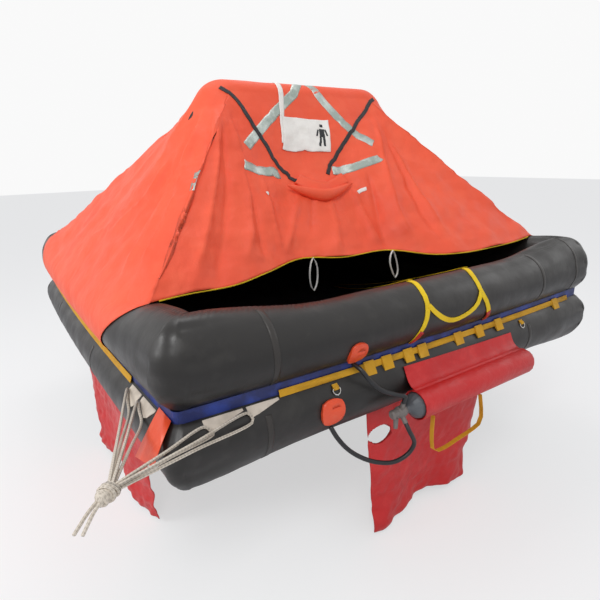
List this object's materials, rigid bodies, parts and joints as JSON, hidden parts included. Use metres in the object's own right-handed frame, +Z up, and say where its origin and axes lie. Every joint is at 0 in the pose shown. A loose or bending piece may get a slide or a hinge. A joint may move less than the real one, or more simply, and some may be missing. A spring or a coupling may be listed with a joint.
{
  "type": "inflated liferaft",
  "caption": "Inflated liferaft: stacked black tube rings, inflated floor, orange canopy over an arch tube, lifelines, bridle, boarding ladder, gas cylinder and ballast pockets.",
  "frame": {"origin": "centre of the inflated floor's flat underside, the face the raft rests on", "axes": "+X along the entrance side, +Y from the entrance to the back, +Z up; the ballast pockets hang below the origin"},
  "size_m": [2.8582, 2.8348, 2.0786],
  "materials": {
    "tube_fabric": "satin coated fabric",
    "floor_fabric": "satin coated fabric",
    "canopy_cloth": "thin coated cloth",
    "red_cloth": "coated cloth",
    "navy_fabric": "coated fabric",
    "yellow_webbing": "woven webbing",
    "white_tape": "white cloth",
    "rope": "braided rope",
    "patch_fabric": "matt patch",
    "orange_cover": "satin",
    "hose_rubber": "satin",
    "steel": "satin",
    "grey_paint": "satin"
  },
  "bodies": {
    "raft": {"lower_tube": "tube_fabric", "upper_tube": "tube_fabric", "arch_tube": "tube_fabric", "arch_cuff_left": "tube_fabric", "arch_cuff_right": "tube_fabric", "floor": "floor_fabric", "canopy_front": "canopy_cloth", "canopy_back": "canopy_cloth", "canopy_left": "canopy_cloth", "canopy_right": "canopy_cloth", "flap_roll": "canopy_cloth", "cylinder_pouch": "red_cloth", "pocket_front": "red_cloth", "pocket_left": "red_cloth", "pocket_right": "red_cloth", "pocket_back": "red_cloth", "joining_strip": "navy_fabric", "lifeline_front": "yellow_webbing", "lifeline_left": "yellow_webbing", "lifeline_right": "yellow_webbing", "lifeline_back": "yellow_webbing", "ring_tab_1": "yellow_webbing", "ring_tab_2": "yellow_webbing", "step_loop": "yellow_webbing", "boarding_ladder": "yellow_webbing", "ladder_strap_1": "yellow_webbing", "ladder_strap_2": "yellow_webbing", "floor_patch": "yellow_webbing", "notice_panel": "white_tape", "hem_tie_left": "white_tape", "hem_tie_right": "white_tape", "bridle_rope_1": "rope", "bridle_rope_2": "rope", "bridle_rope_3": "rope", "bridle_rope_4": "rope", "bridle_knot": "rope", "bridle_tail_1": "rope", "bridle_tail_2": "rope", "bridle_patch_1": "patch_fabric", "bridle_patch_2": "patch_fabric", "bridle_patch_3": "patch_fabric", "bridle_patch_4": "patch_fabric", "bridle_tag": "orange_cover", "valve_cover_upper": "orange_cover", "valve_cover_lower": "orange_cover", "inflation_hose_upper": "hose_rubber", "inflation_hose_lower": "hose_rubber", "cylinder_head": "steel", "gas_cylinder": "grey_paint"},
    "ring_1": {"d_ring_1": "steel"},
    "ring_2": {"d_ring_2": "steel"}
  },
  "joints": [
    {"name": "ring_1_swing", "type": "hinge", "parent": "raft", "child": "ring_1", "pos_m": [-0.612, -1.31296, 0.20824], "axis": [-1, 0, 0], "range_deg": [0, 100]},
    {"name": "ring_2_swing", "type": "hinge", "parent": "raft", "child": "ring_2", "pos_m": [0.585, -1.31372, 0.20824], "axis": [-1, 0, 0], "range_deg": [0, 100]}
  ]
}
